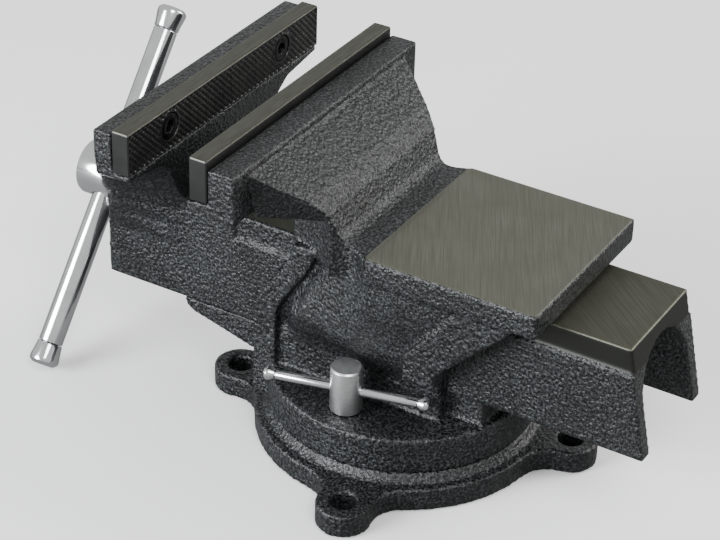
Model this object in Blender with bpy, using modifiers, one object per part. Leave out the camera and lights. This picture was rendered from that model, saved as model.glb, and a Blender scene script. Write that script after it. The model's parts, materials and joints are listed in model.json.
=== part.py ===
"""Bench vise on a swivel base, with an anvil behind its jaws.

The frame: the origin is on the swivel axis at the underside of the base, +Z is up, +X runs along
the jaws, and +Y runs back from the handle, through the jaws, to the anvil and the end of the slide.
"""
import math

import bmesh
import bpy
from mathutils import Matrix, Vector

MM = 0.001
CLEARANCE = 0.3 * MM          # between neighbours that touch or are screwed together
RUNNING = 0.5 * MM            # between pieces that slide or turn in each other

# Jaws
JAW_WIDTH = 150 * MM
JAW_TOP_Z = 153.9 * MM
JAW_OPENING = 30.7 * MM       # between the plates as the vise stands
FIXED_FACE_Y = -64.3 * MM     # gripping face of the fixed plate
PLATE_THICKNESS = 8.8 * MM
PLATE_HEIGHT = 20.5 * MM
PLATE_PROUD = 3.0 * MM        # the plates stand above the castings
JAW_BLOCK_THICKNESS = 9.5 * MM
JAW_LEDGE_HEIGHT = 5 * MM     # the casting under a plate
PLATE_SCREW_SPACING = 88.4 * MM
PLATE_SCREW_DROP = 9.5 * MM   # below the top of the plate
SCREW_HEAD_RADIUS = 6 * MM
SCREW_HEAD_HEIGHT = 6 * MM
SCREW_SHANK_RADIUS = 3.2 * MM
SCREW_SHANK_LENGTH = 9 * MM
HEX_RADIUS = 3 * MM
HEX_DEPTH = 3.5 * MM

# Slide, the long channel of the moving jaw
SLIDE_TOP_Z = 99.1 * MM
SLIDE_BOTTOM_Z = 47 * MM
SLIDE_HALF_WIDTH = 29 * MM
STRIP_HALF_WIDTH = 27.5 * MM  # machined upper part of its sides
STRIP_HEIGHT = 11.6 * MM
SLIDE_WALL = 7 * MM
SLIDE_END_Y = 120 * MM
SLIDE_END_SLANT = 11 * MM     # the bottom of the slide's end reaches further back
NOSE_LENGTH = 47 * MM         # from the gripping face to the front of the casting
NOSE_WALL = 14 * MM

# Lead screw and handle
SCREW_Z = 79.7 * MM
LEAD_RADIUS = 9 * MM
LEAD_END_Y = 116 * MM
LEAD_HEAD_RADIUS = 13.4 * MM
LEAD_HEAD_LENGTH = 24.8 * MM
WASHER_THICKNESS = 2.5 * MM
COLLAR_LENGTH = 10 * MM
COLLAR_RADIUS = 15 * MM
PIN_RADIUS = 2 * MM
HANDLE_RADIUS = 5.8 * MM
HANDLE_LENGTH = 179 * MM
HANDLE_TILT = math.radians(51.3)
HANDLE_SHIFT = 7 * MM         # the bar hangs this far down through the screw's head
CAP_LENGTH = 11 * MM
CAP_RADIUS = 7 * MM
HANDLE_HOLE_FROM_RIM = 12.4 * MM
NUT_FRONT_Y = -30 * MM
NUT_LENGTH = 45 * MM
NUT_HALF_WIDTH = 15 * MM
NUT_WALL = 2 * MM
NUT_BOLT_RADIUS = 4 * MM
NUT_BOLT_HEAD_RADIUS = 7 * MM
NUT_BOLT_HEAD_HEIGHT = 5.5 * MM
NUT_BOLT_FROM_FRONT = 6 * MM

# Anvil
ANVIL_HALF_WIDTH = 46.6 * MM
ANVIL_FRONT_Y = 4.1 * MM
ANVIL_LENGTH = 81.5 * MM
ANVIL_TOP_Z = 112.7 * MM
ANVIL_THICKNESS = 12 * MM

# Swivel: the disc of the body on the base
DISC_RADIUS = 61.5 * MM
DISC_TOP_Z = 32.9 * MM
DISC_RECESS_RADIUS = 34 * MM
DISC_RECESS_DEPTH = 8.5 * MM
BASE_HEIGHT = 15.2 * MM
BASE_FLANGE_RADIUS = 67.9 * MM
BASE_FLANGE_HEIGHT = 10.9 * MM
LUG_COUNT = 4
LUG_CIRCLE_RADIUS = 79.6 * MM
LUG_RADIUS = 12.4 * MM
LUG_FILLET = 14 * MM
LUG_HOLE_RADIUS = 6 * MM
LUG_ANGLE = math.radians(11.6)
PIVOT_RADIUS = 10 * MM
PIVOT_DEPTH = 9 * MM          # into the base
PIVOT_HEIGHT = 12 * MM        # above the base

# Lock bolts in a ring-shaped T-slot
LOCK_X = 46.4 * MM
LOCK_Y = -2.7 * MM
LOCK_RADIUS = 7.2 * MM
LOCK_HEIGHT = 22.3 * MM
LOCK_SHANK_RADIUS = 4 * MM
LOCK_ROD_DROP = 12 * MM       # below the top of the bolt
LOCK_ROD_RADIUS = 2.2 * MM
LOCK_ROD_LENGTH = 75.5 * MM     # over its knobs
LOCK_ROD_ANGLE = math.radians(13.5)
KNOB_RADIUS = 3.3 * MM
KNOB_LENGTH = 5 * MM
SLOT_NECK_HALF = 4.8 * MM
SLOT_HALF = 8.5 * MM
SLOT_FLOOR_Z = 4 * MM
SLOT_LIP = 4.6 * MM
T_NUT_HALF_WIDTH = 6.2 * MM
T_NUT_HALF_LENGTH = 9 * MM

# Front rim, pedestal and forward rest of the body
RIM_FRONT_Y = -58 * MM
RIM_THICKNESS = 11.5 * MM
RIM_HALF_WIDTH = 37 * MM
PEDESTAL_HALF_WIDTH = 33 * MM
PEDESTAL_REAR_Y = 36.4 * MM
REST_LENGTH = 42.8 * MM       # reach of the rest under the slide, in front of the rim

MOVING_FACE_Y = FIXED_FACE_Y - JAW_OPENING
NOSE_Y = MOVING_FACE_Y - NOSE_LENGTH
FLOOR_Z = SLIDE_BOTTOM_Z - RUNNING
DISC_BOTTOM_Z = BASE_HEIGHT + CLEARANCE
PLATE_BOTTOM_Z = JAW_TOP_Z - PLATE_HEIGHT
JAW_BOTTOM_Z = PLATE_BOTTOM_Z - JAW_LEDGE_HEIGHT
CASTING_TOP_Z = JAW_TOP_Z - PLATE_PROUD
SLOT_RADIUS = math.hypot(LOCK_X, LOCK_Y)
LOCK_TOP_Z = DISC_TOP_Z + CLEARANCE + LOCK_HEIGHT
LOCK_ROD_Z = LOCK_TOP_Z - LOCK_ROD_DROP
ANVIL_REAR_Y = ANVIL_FRONT_Y + ANVIL_LENGTH
ANVIL_BOTTOM_Z = ANVIL_TOP_Z - ANVIL_THICKNESS
BOSS_LENGTH = 3 * MM
LEAD_SHOULDER_Y = NOSE_Y - BOSS_LENGTH - WASHER_THICKNESS - 2 * CLEARANCE
HANDLE_Y = LEAD_SHOULDER_Y - LEAD_HEAD_LENGTH + HANDLE_HOLE_FROM_RIM
NUT_BOLT_Y = NUT_FRONT_Y + NUT_BOLT_FROM_FRONT

PAINT = ((0.055, 0.060, 0.068, 1), 0.38, 0.45)
GROUND = ((0.42, 0.42, 0.37, 1), 0.42, 1.0)
PLATE_STEEL = ((0.16, 0.165, 0.16, 1), 0.5, 0.9)
BLACK_STEEL = ((0.03, 0.03, 0.033, 1), 0.45, 0.8)
CHROME = ((0.75, 0.76, 0.78, 1), 0.15, 1.0)
ZINC = ((0.62, 0.63, 0.64, 1), 0.4, 1.0)
BRONZE = ((0.45, 0.30, 0.14, 1), 0.45, 0.9)


def clear_scene():
    for old in list(bpy.data.objects):
        bpy.data.objects.remove(old, do_unlink=True)


def make_collection(name):
    collection = bpy.data.collections.new(name)
    bpy.context.scene.collection.children.link(collection)
    return collection


def make_material(name, finish):
    colour, roughness, metallic = finish
    material = bpy.data.materials.new(name)
    material.use_nodes = True
    shader = material.node_tree.nodes["Principled BSDF"]
    shader.inputs["Base Color"].default_value = colour
    shader.inputs["Roughness"].default_value = roughness
    shader.inputs["Metallic"].default_value = metallic
    return material


def mesh_object(name, bm, group):
    bmesh.ops.recalc_face_normals(bm, faces=bm.faces)
    mesh = bpy.data.meshes.new(name)
    bm.to_mesh(mesh)
    bm.free()
    obj = bpy.data.objects.new(name, mesh)
    group.link(obj)
    return obj


def box(name, group, low, high):
    """An axis-aligned box between two corners."""
    low = Vector(low)
    high = Vector(high)
    bm = bmesh.new()
    bmesh.ops.create_cube(bm, size=1)
    bmesh.ops.scale(bm, vec=high - low, verts=bm.verts)
    bmesh.ops.translate(bm, vec=(low + high) / 2, verts=bm.verts)
    return mesh_object(name, bm, group)


def rod(name, group, start, end, radius, segments=24, end_radius=None):
    """A cylinder or a cone from one point to another."""
    start = Vector(start)
    end = Vector(end)
    direction = end - start
    turn = direction.to_track_quat("Z", "Y").to_matrix().to_4x4()
    bm = bmesh.new()
    bmesh.ops.create_cone(
        bm,
        cap_ends=True,
        segments=segments,
        radius1=radius,
        radius2=radius if end_radius is None else end_radius,
        depth=direction.length,
        matrix=Matrix.Translation((start + end) / 2) @ turn,
    )
    return mesh_object(name, bm, group)


def turned(name, group, profile, segments, closed=False):
    """A solid of revolution about Z; the profile runs from the top, down its outer side."""
    bm = bmesh.new()
    points = [bm.verts.new((radius, 0, height)) for radius, height in profile]
    if closed:
        points.append(points[0])
    for first, second in zip(points, points[1:]):
        bm.edges.new((first, second))
    mesh = bpy.data.meshes.new(name)
    bm.to_mesh(mesh)
    bm.free()
    obj = bpy.data.objects.new(name, mesh)
    group.link(obj)
    screw = obj.modifiers.new("Turn", "SCREW")
    screw.steps = segments
    screw.render_steps = segments
    screw.use_merge_vertices = True
    screw.merge_threshold = 0.00001
    return obj


def prism(name, group, outline, axis, low, high):
    """A flat outline carried along one axis; its points are the other two coordinates, in order."""
    bm = bmesh.new()
    points = []
    for first, second in outline:
        place = [first, second]
        place.insert(axis, low)
        points.append(bm.verts.new(place))
    face = bm.faces.new(points)
    moved = bmesh.ops.extrude_face_region(bm, geom=[face])["geom"]
    step = Vector((0, 0, 0))
    step[axis] = high - low
    bmesh.ops.translate(bm, vec=step, verts=[v for v in moved if isinstance(v, bmesh.types.BMVert)])
    return mesh_object(name, bm, group)


def loft(name, group, rings):
    """A skin over rings of equal length, closed by a face at each end."""
    bm = bmesh.new()
    loops = [[bm.verts.new(point) for point in ring] for ring in rings]
    count = len(rings[0])
    for lower, upper in zip(loops, loops[1:]):
        for index in range(count):
            after = (index + 1) % count
            bm.faces.new((lower[index], lower[after], upper[after], upper[index]))
    bm.faces.new(loops[0])
    bm.faces.new(loops[-1])
    bm.normal_update()
    bmesh.ops.triangulate(bm, faces=bm.faces)
    return mesh_object(name, bm, group)


def mirrored_ring(y, half):
    """A closed ring at one Y from (x, z) points on its +X half, listed from the top down."""
    right = [(x, y, z) for x, z in half]
    left = [(-x, y, z) for x, z in reversed(half)]
    return right + left


def level_ring(z, front_half, front_y, rear_half, rear_y):
    """A closed four-cornered ring at one height."""
    return [
        (front_half, front_y, z), (rear_half, rear_y, z), (-rear_half, rear_y, z),
        (-front_half, front_y, z),
    ]


def boolean(target, others, operation):
    for other in others:
        modifier = target.modifiers.new(other.name, "BOOLEAN")
        modifier.operation = operation
        modifier.solver = "EXACT"
        modifier.object = other
        other.hide_render = True
        other.display_type = "WIRE"


def bevel(obj, width, segments=2, angle=40):
    modifier = obj.modifiers.new("Bevel", "BEVEL")
    modifier.width = width
    modifier.segments = segments
    modifier.limit_method = "ANGLE"
    modifier.angle_limit = math.radians(angle)
    modifier.use_clamp_overlap = True


def finish(obj, material, smooth=False):
    obj.data.materials.clear()
    obj.data.materials.append(material)
    if smooth:
        obj.data.shade_smooth()
        obj.data.set_sharp_from_angle(angle=math.radians(35))


def put_on_axis(obj, point):
    """Moves an object's origin to a point on its joint's axis, and leaves its shape where it is."""
    obj.data.transform(Matrix.Translation(-Vector(point)))
    obj.location = point


def arc(centre, radius, start, end, steps):
    return [
        (centre[0] + radius * math.cos(start + (end - start) * step / steps),
         centre[1] + radius * math.sin(start + (end - start) * step / steps))
        for step in range(steps + 1)
    ]


def lug_outline():
    """The plan of the base: a round flange and four lugs, with hollow fillets between them."""
    reach = BASE_FLANGE_RADIUS + LUG_FILLET
    span = LUG_RADIUS + LUG_FILLET
    spread = math.acos((reach**2 + LUG_CIRCLE_RADIUS**2 - span**2) / (2 * reach * LUG_CIRCLE_RADIUS))
    outline = []
    quarter = math.tau / LUG_COUNT
    for number in range(LUG_COUNT):
        middle = LUG_ANGLE + number * quarter
        lug = Vector((math.cos(middle), math.sin(middle))) * LUG_CIRCLE_RADIUS
        for side in (-1, 1):
            angle = middle + side * spread
            fillet = Vector((math.cos(angle), math.sin(angle))) * reach
            to_lug = math.atan2(lug.y - fillet.y, lug.x - fillet.x)
            to_flange = angle + math.pi
            turn = (to_flange - to_lug + math.pi) % math.tau - math.pi
            points = arc(fillet, LUG_FILLET, to_lug, to_lug + turn, 5)
            if side < 0:
                points.reverse()
                start = to_lug + math.pi
                swing = (middle - start) % math.tau
                outline += points[:-1] + arc(lug, LUG_RADIUS, start, start + 2 * swing, 12)
            else:
                outline += points[1:]
        outline += arc((0, 0), BASE_FLANGE_RADIUS, middle + spread, middle + quarter - spread, 6)[1:-1]
    return outline


def swivel_base(parts, cutters):
    """The cast base, with its mounting lugs and the ring-shaped T-slot."""
    base = prism("swivel_base", parts, lug_outline(), 2, 0, BASE_FLANGE_HEIGHT)
    ring_profile = [
        (0, BASE_HEIGHT),
        (DISC_RADIUS - 1 * MM, BASE_HEIGHT),
        (DISC_RADIUS, BASE_HEIGHT - 1.5 * MM),
        (DISC_RADIUS + 1.3 * MM, BASE_FLANGE_HEIGHT + 0.9 * MM),
        (DISC_RADIUS + 3.5 * MM, BASE_FLANGE_HEIGHT - 0.6 * MM),
        (DISC_RADIUS + 3.5 * MM, 1 * MM),
        (0, 1 * MM),
    ]
    ring = turned("base_ring", cutters, ring_profile, 72)
    inner = SLOT_RADIUS - SLOT_HALF
    outer = SLOT_RADIUS + SLOT_HALF
    neck_inner = SLOT_RADIUS - SLOT_NECK_HALF
    neck_outer = SLOT_RADIUS + SLOT_NECK_HALF
    lip_z = BASE_HEIGHT - SLOT_LIP
    above = BASE_HEIGHT + 2 * MM
    slot_profile = [
        (neck_inner, above),
        (neck_outer, above),
        (neck_outer, lip_z),
        (outer, lip_z),
        (outer, SLOT_FLOOR_Z),
        (inner, SLOT_FLOOR_Z),
        (inner, lip_z),
        (neck_inner, lip_z),
    ]
    slot = turned("base_slot", cutters, slot_profile, 72, closed=True)
    bore = rod(
        "base_bore", cutters, (0, 0, BASE_HEIGHT - PIVOT_DEPTH), (0, 0, above), PIVOT_RADIUS + CLEARANCE,
        32,
    )
    cuts = [slot, bore]
    for number in range(LUG_COUNT):
        angle = LUG_ANGLE + number * math.tau / LUG_COUNT
        x = LUG_CIRCLE_RADIUS * math.cos(angle)
        y = LUG_CIRCLE_RADIUS * math.sin(angle)
        cuts.append(rod(
            f"lug_hole_{number}", cutters, (x, y, -2 * MM), (x, y, BASE_FLANGE_HEIGHT + 2 * MM),
            LUG_HOLE_RADIUS, 20,
        ))
    boolean(base, [ring], "UNION")
    boolean(base, cuts, "DIFFERENCE")
    return base


def pivot_pin(parts):
    low = BASE_HEIGHT - PIVOT_DEPTH + CLEARANCE
    pin = rod("pivot_pin", parts, (0, 0, low), (0, 0, BASE_HEIGHT + PIVOT_HEIGHT), PIVOT_RADIUS, 32)
    bevel(pin, 0.8 * MM, 1)
    return pin


RIM_LEAN = [  # height above the slide's underside, and how far the rim has leaned back there
    (10.0, 0.0),
    (16.0, 0.6),
    (23.2, 4.4),
    (31.5, 9.8),
    (39.4, 15.2),
    (46.1, 18.6),
    (53.0, 20.0),
]
FRONT_SECTIONS = [  # behind the rim's front, roof above the slide, then half widths from the roof down
    (3.0, 2.0, 31.2, 31.5, 32.5, 33.0, 34.0, 34.0, 33.8),
    (20.0, 2.5, 33.0, 35.0, 36.0, 37.0, 38.0, 36.5, 34.2),
    (42.0, 7.0, 38.5, 39.5, 40.0, 40.5, 40.8, 38.5, 35.2),
    (55.0, 13.0, 42.0, 42.5, 42.5, 42.5, 41.8, 39.4, 35.8),
]
FRONT_STEPS = [3.0, 8.0, 12.0, 16.0, 20.0, 24.0, 28.0, 32.0, 37.0, 42.0, 48.0, 55.0]
SIDE_DROPS = [6.0, 15.0, 24.0, 34.0, 40.0, 45.0]   # below the slide's top, where those widths are taken
VALLEY_DEPTH = 5 * MM         # of the groove that follows the rim's back, into the housing
VALLEY_LENGTH = 9 * MM


def between(rows, at):
    """The row at a given first value, blended from the two rows around it."""
    for low, high in zip(rows, rows[1:]):
        if at <= high[0]:
            share = max(0.0, (at - low[0]) / (high[0] - low[0]))
            return [first + share * (second - first) for first, second in zip(low, high)]
    return list(rows[-1])


def valley(y, z):
    """How far the housing's side is sunk where the groove behind the rim passes."""
    lean = between(RIM_LEAN, (z - SLIDE_BOTTOM_Z) / MM)[1] * MM
    behind = y - (RIM_FRONT_Y + lean + RIM_THICKNESS) - 1 * MM
    share = min(1.0, max(0.0, behind / VALLEY_LENGTH))
    return VALLEY_DEPTH * (1 - share * share * (3 - 2 * share))


def side_ring(y, roof_z, top_half, halves):
    """A section of the housing: the roof's half width, then the side's, then the upright foot."""
    thinnest = SLIDE_HALF_WIDTH + RUNNING + 1.8 * MM
    half = [(max(thinnest, top_half - valley(y, roof_z)), roof_z)]
    for wide, drop in zip(halves, SIDE_DROPS):
        z = SLIDE_TOP_Z - drop * MM
        half.append((max(thinnest, wide - valley(y, z)), z))
    half += [(PEDESTAL_HALF_WIDTH, SLIDE_TOP_Z - 51 * MM), (PEDESTAL_HALF_WIDTH, DISC_TOP_Z - 2 * MM)]
    return mirrored_ring(y, half)


def housing_rings():
    """Sections of the housing along Y: narrow at the rim, as wide as the anvil behind the jaw."""
    rings = []
    for step in FRONT_STEPS:
        behind, roof, top, *sides = between(FRONT_SECTIONS, step)
        widths = [wide * MM for wide in sides]
        rings.append(side_ring(RIM_FRONT_Y + behind * MM, SLIDE_TOP_Z + roof * MM, top * MM, widths))
    wide = ANVIL_HALF_WIDTH
    halves = [wide - inset * MM for inset in (1.2, 2.2, 3.8, 5.0, 7.2, 10.6)]
    for y in (ANVIL_FRONT_Y, ANVIL_REAR_Y - 1 * MM):
        rings.append(side_ring(y, ANVIL_TOP_Z - 0.6 * MM, wide - 0.3 * MM, halves))
    return rings


def rim_rings():
    """The raised front rim: upright above the disc, then leaning back to the slide's shoulder."""
    rings = [
        level_ring(DISC_BOTTOM_Z, RIM_HALF_WIDTH, RIM_FRONT_Y, RIM_HALF_WIDTH, RIM_FRONT_Y + RIM_THICKNESS),
    ]
    for rise, back in RIM_LEAN:
        half = RIM_HALF_WIDTH - 1 * MM
        front = RIM_FRONT_Y + back * MM
        rings.append(level_ring(SLIDE_BOTTOM_Z + rise * MM, half, front, half, front + RIM_THICKNESS))
    return rings


def rim_front_cutter(cutters):
    """Takes away what stands in front of the middle of the leaning rim."""
    outline = [(RIM_FRONT_Y - 20 * MM, 0), (RIM_FRONT_Y + RIM_THICKNESS / 2, 0)]
    for rise, back in RIM_LEAN:
        outline.append((RIM_FRONT_Y + back * MM + RIM_THICKNESS / 2, SLIDE_BOTTOM_Z + rise * MM))
    above = SLIDE_BOTTOM_Z + (RIM_LEAN[-1][0] + 20) * MM
    outline.append((outline[-1][0], above))
    outline.append((RIM_FRONT_Y - 20 * MM, above))
    return prism("housing_front_cut", cutters, outline, 0, -JAW_WIDTH / 2, JAW_WIDTH / 2)


WING_UNDERCUT = 7 * MM        # how far the wing's side leans in towards its underside
BACK_CURVE = [  # share of the way to the anvil, top and bottom above the anvil, half width
    (-0.02, 34.6, 13.9, 65.4),
    (0.114, 31.0, 13.4, 61.4),
    (0.234, 27.5, 12.9, 57.5),
    (0.43, 21.7, 12.1, 51.2),
    (0.53, 17.6, 11.5, 48.3),
    (0.605, 13.6, 11.0, 45.7),
]
NECK_CURVE = [  # share of the way to the anvil, top above the anvil, half width
    (0.02, 14.2, 31.0),
    (0.20, 13.7, 33.0),
    (0.42, 12.8, 37.0),
    (0.55, 12.4, 41.0),
    (0.60, 13.5, 45.4),
    (0.648, 8.3, 44.2),
    (0.68, 4.4, 43.2),
    (0.72, 2.2, 42.2),
    (0.78, 1.0, 41.4),
    (0.86, 0.5, 41.6),
    (0.93, 0.1, 43.0),
    (1.05, -0.7, 46.2),
]


def fixed_jaw_pieces(cutters):
    """The block behind the fixed plate, its ledge, and the curved back down to the anvil."""
    seat_y = FIXED_FACE_Y + PLATE_THICKNESS + CLEARANCE
    back_y = seat_y + JAW_BLOCK_THICKNESS + 4 * MM
    half = JAW_WIDTH / 2
    outline = [
        (seat_y, CASTING_TOP_Z - 1.5 * MM),
        (seat_y + 1.2 * MM, CASTING_TOP_Z - 0.7 * MM),
        (back_y, CASTING_TOP_Z - 0.7 * MM),
        (back_y, ANVIL_TOP_Z + 14 * MM),
        (seat_y + 3 * MM, ANVIL_TOP_Z + 14 * MM),
        (FIXED_FACE_Y + 1.6 * MM, PLATE_BOTTOM_Z - 2.6 * MM),
        (FIXED_FACE_Y + 1.2 * MM, PLATE_BOTTOM_Z - CLEARANCE),
        (seat_y, PLATE_BOTTOM_Z - CLEARANCE),
    ]
    block = prism("fixed_jaw_block", cutters, outline, 0, -half, half)
    reach = ANVIL_FRONT_Y - back_y
    rings = []
    for share, top, bottom, wide in BACK_CURVE:
        low = (wide * MM - WING_UNDERCUT, ANVIL_TOP_Z + bottom * MM - WING_UNDERCUT / 2)
        half_ring = [(wide * MM, ANVIL_TOP_Z + top * MM), low]
        rings.append(mirrored_ring(back_y + share * reach, half_ring))
    wing = loft("fixed_jaw_wing", cutters, rings)
    rings = []
    for share, top, wide in NECK_CURVE:
        half_ring = [(wide * MM, ANVIL_TOP_Z + top * MM), (wide * MM, SLIDE_TOP_Z - 3 * MM)]
        rings.append(mirrored_ring(back_y + share * reach, half_ring))
    neck = loft("fixed_jaw_neck", cutters, rings)
    return [block, wing, neck]


def plate_screw_places(face_y, into):
    """Where each plate screw's head rests, and the direction in which it goes in."""
    z = JAW_TOP_Z - PLATE_SCREW_DROP
    for side, x in (("right", PLATE_SCREW_SPACING / 2), ("left", -PLATE_SCREW_SPACING / 2)):
        yield side, Vector((x, face_y, z)), Vector((0, into, 0))


def static_body(parts, cutters):
    """The main casting: disc, pedestal, housing round the slide, anvil and fixed jaw."""
    disc_profile = [
        (0, DISC_TOP_Z),
        (DISC_RADIUS - 1 * MM, DISC_TOP_Z),
        (DISC_RADIUS, DISC_TOP_Z - 1 * MM),
        (DISC_RADIUS, DISC_BOTTOM_Z),
        (0, DISC_BOTTOM_Z),
    ]
    body = turned("static_body", parts, disc_profile, 72)
    housing = loft("body_housing", cutters, housing_rings())
    under_anvil = [
        (PEDESTAL_REAR_Y, DISC_TOP_Z - 4 * MM),
        (PEDESTAL_REAR_Y, SLIDE_TOP_Z - 41 * MM),
        (PEDESTAL_REAR_Y + 4 * MM, SLIDE_TOP_Z - 34 * MM),
        (PEDESTAL_REAR_Y + 38.6 * MM, ANVIL_BOTTOM_Z),
        (ANVIL_REAR_Y + 5 * MM, ANVIL_BOTTOM_Z),
        (ANVIL_REAR_Y + 5 * MM, DISC_TOP_Z - 4 * MM),
    ]
    wide = ANVIL_HALF_WIDTH + 5 * MM
    under_cut = prism("housing_cut", cutters, under_anvil, 0, -wide, wide)
    boolean(housing, [under_cut, rim_front_cutter(cutters)], "DIFFERENCE")
    slab = box(
        "anvil_slab", cutters,
        (-ANVIL_HALF_WIDTH, ANVIL_FRONT_Y, ANVIL_BOTTOM_Z + 0.1 * MM),
        (ANVIL_HALF_WIDTH, ANVIL_REAR_Y, ANVIL_TOP_Z),
    )
    bevel(slab, 1.2 * MM, 2)
    brace_outline = [
        (PEDESTAL_REAR_Y - 12 * MM, SLIDE_TOP_Z - 40.5 * MM),
        (PEDESTAL_REAR_Y + 3 * MM, SLIDE_TOP_Z - 41 * MM),
        (PEDESTAL_REAR_Y + 3.8 * MM, SLIDE_TOP_Z - 33.4 * MM),
        (PEDESTAL_REAR_Y + 39 * MM, ANVIL_BOTTOM_Z + 1 * MM),
        (PEDESTAL_REAR_Y + 14 * MM, ANVIL_BOTTOM_Z + 1 * MM),
        (PEDESTAL_REAR_Y - 12 * MM, SLIDE_TOP_Z - 28 * MM),
    ]
    brace_half = ANVIL_HALF_WIDTH - 0.5 * MM
    brace = prism("body_brace", cutters, brace_outline, 0, -brace_half, brace_half)
    rim = loft("body_rim", cutters, rim_rings())
    tip = RIM_FRONT_Y - REST_LENGTH
    rest_outline = [
        (tip, FLOOR_Z),
        (tip + 1.3 * MM, SLIDE_BOTTOM_Z - 4.5 * MM),
        (tip + 5.4 * MM, SLIDE_BOTTOM_Z - 7.2 * MM),
        (tip + 20.8 * MM, SLIDE_BOTTOM_Z - 11 * MM),
        (tip + 36.8 * MM, SLIDE_BOTTOM_Z - 15.2 * MM),
        (RIM_FRONT_Y + 5 * MM, SLIDE_BOTTOM_Z - 17 * MM),
        (RIM_FRONT_Y + 5 * MM, FLOOR_Z),
    ]
    rest = prism(
        "slide_rest", cutters, rest_outline, 0, -SLIDE_HALF_WIDTH + 0.8 * MM, SLIDE_HALF_WIDTH - 0.8 * MM,
    )
    rear = box(
        "rear_foot", cutters,
        (-SLIDE_HALF_WIDTH + 3.5 * MM, 0, DISC_TOP_Z - 2.5 * MM),
        (SLIDE_HALF_WIDTH - 3.5 * MM, PEDESTAL_REAR_Y + 17 * MM, FLOOR_Z - 0.2 * MM),
    )
    boolean(body, [housing, rim, slab, brace, *fixed_jaw_pieces(cutters), rest, rear], "UNION")

    tunnel = box(
        "slide_tunnel", cutters,
        (-SLIDE_HALF_WIDTH - RUNNING, RIM_FRONT_Y - 5 * MM, FLOOR_Z),
        (SLIDE_HALF_WIDTH + RUNNING, ANVIL_REAR_Y + 5 * MM, SLIDE_TOP_Z + RUNNING),
    )
    recess_top = DISC_BOTTOM_Z + DISC_RECESS_DEPTH
    recess = rod("disc_recess", cutters, (0, 0, 0), (0, 0, recess_top), DISC_RECESS_RADIUS, 40)
    pivot_top = BASE_HEIGHT + PIVOT_HEIGHT + CLEARANCE
    pivot = rod("pivot_bore", cutters, (0, 0, 0), (0, 0, pivot_top), PIVOT_RADIUS + CLEARANCE, 32)
    boss = rod(
        "pivot_boss", cutters, (0, 0, DISC_BOTTOM_Z), (0, 0, recess_top + 2 * MM), PIVOT_RADIUS + 5 * MM,
        32,
    )
    bolt = rod(
        "nut_bolt_hole", cutters,
        (0, NUT_BOLT_Y, recess_top - 1 * MM), (0, NUT_BOLT_Y, FLOOR_Z + 1 * MM),
        NUT_BOLT_RADIUS + CLEARANCE,
    )
    cuts = [tunnel, bolt]
    for side in (1, -1):
        place = Vector((side * LOCK_X, LOCK_Y, 0))
        top = place + Vector((0, 0, DISC_TOP_Z + 1 * MM))
        cuts.append(rod(f"lock_hole_{side}", cutters, place, top, LOCK_SHANK_RADIUS + CLEARANCE))
    for side, head, into in plate_screw_places(FIXED_FACE_Y, 1):
        start = head + into * (PLATE_THICKNESS - 2 * MM)
        end = head + into * (SCREW_HEAD_HEIGHT + SCREW_SHANK_LENGTH + 2 * MM)
        cuts.append(rod(
            f"fixed_screw_hole_{side}", cutters, start, end, SCREW_SHANK_RADIUS + CLEARANCE, 16,
        ))
    boolean(recess, [boss], "DIFFERENCE")
    boolean(body, [recess, pivot, *cuts], "DIFFERENCE")
    return body


def slide_section():
    """The inverted U of the slide, as (x, z) points on its +X half from the top down and back up."""
    inner = SLIDE_HALF_WIDTH - SLIDE_WALL
    arch_z = SLIDE_TOP_Z - SLIDE_WALL - inner
    arch = arc((0, arch_z), inner, 0, math.pi, 12)
    outer = [
        (STRIP_HALF_WIDTH, SLIDE_TOP_Z),
        (STRIP_HALF_WIDTH, SLIDE_TOP_Z - STRIP_HEIGHT),
        (SLIDE_HALF_WIDTH, SLIDE_TOP_Z - STRIP_HEIGHT - 0.6 * MM),
        (SLIDE_HALF_WIDTH, SLIDE_BOTTOM_Z),
        (inner, SLIDE_BOTTOM_Z),
    ]
    left = [(-x, z) for x, z in reversed(outer)]
    return outer + arch + left


def jaw_rings():
    """Level sections of the moving jaw: wide under its plate, as narrow as the slide at its nose."""
    half = JAW_WIDTH / 2
    face = MOVING_FACE_Y - 0.3 * MM
    slide = SLIDE_HALF_WIDTH
    front = MOVING_FACE_Y - PLATE_THICKNESS - JAW_BLOCK_THICKNESS
    low = JAW_BOTTOM_Z
    return [
        level_ring(CASTING_TOP_Z + 1 * MM, half, front, half, face),
        level_ring(low + 2.5 * MM, half - 0.3 * MM, front + 0.2 * MM, half - 0.3 * MM, face),
        level_ring(low - 1 * MM, half - 4 * MM, front - 1.8 * MM, slide + 21 * MM, face - 0.2 * MM),
        level_ring(low - 6 * MM, half - 9 * MM, front - 4.5 * MM, slide + 14.5 * MM, face - 0.7 * MM),
        level_ring(low - 10.5 * MM, half - 13 * MM, front - 7.2 * MM, slide + 12.3 * MM, face - 1.2 * MM),
        level_ring(low - 20.5 * MM, half - 23 * MM, front - 14.2 * MM, slide + 7 * MM, face - 2.2 * MM),
        level_ring(low - 28.5 * MM, slide + 14 * MM, NOSE_Y + 9.5 * MM, slide + 1 * MM, face - 3.2 * MM),
        level_ring(low - 34 * MM, slide + 9.5 * MM, NOSE_Y + 6.5 * MM, slide, face - 3.7 * MM),
        level_ring(low - 43 * MM, slide + 5 * MM, NOSE_Y + 3.5 * MM, slide, face - 3.7 * MM),
        level_ring(low - 54 * MM, slide + 2.5 * MM, NOSE_Y + 1.5 * MM, slide, face - 3.7 * MM),
        level_ring(SLIDE_BOTTOM_Z, slide + 0.6 * MM, NOSE_Y, slide, face - 3.7 * MM),
    ]


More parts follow.
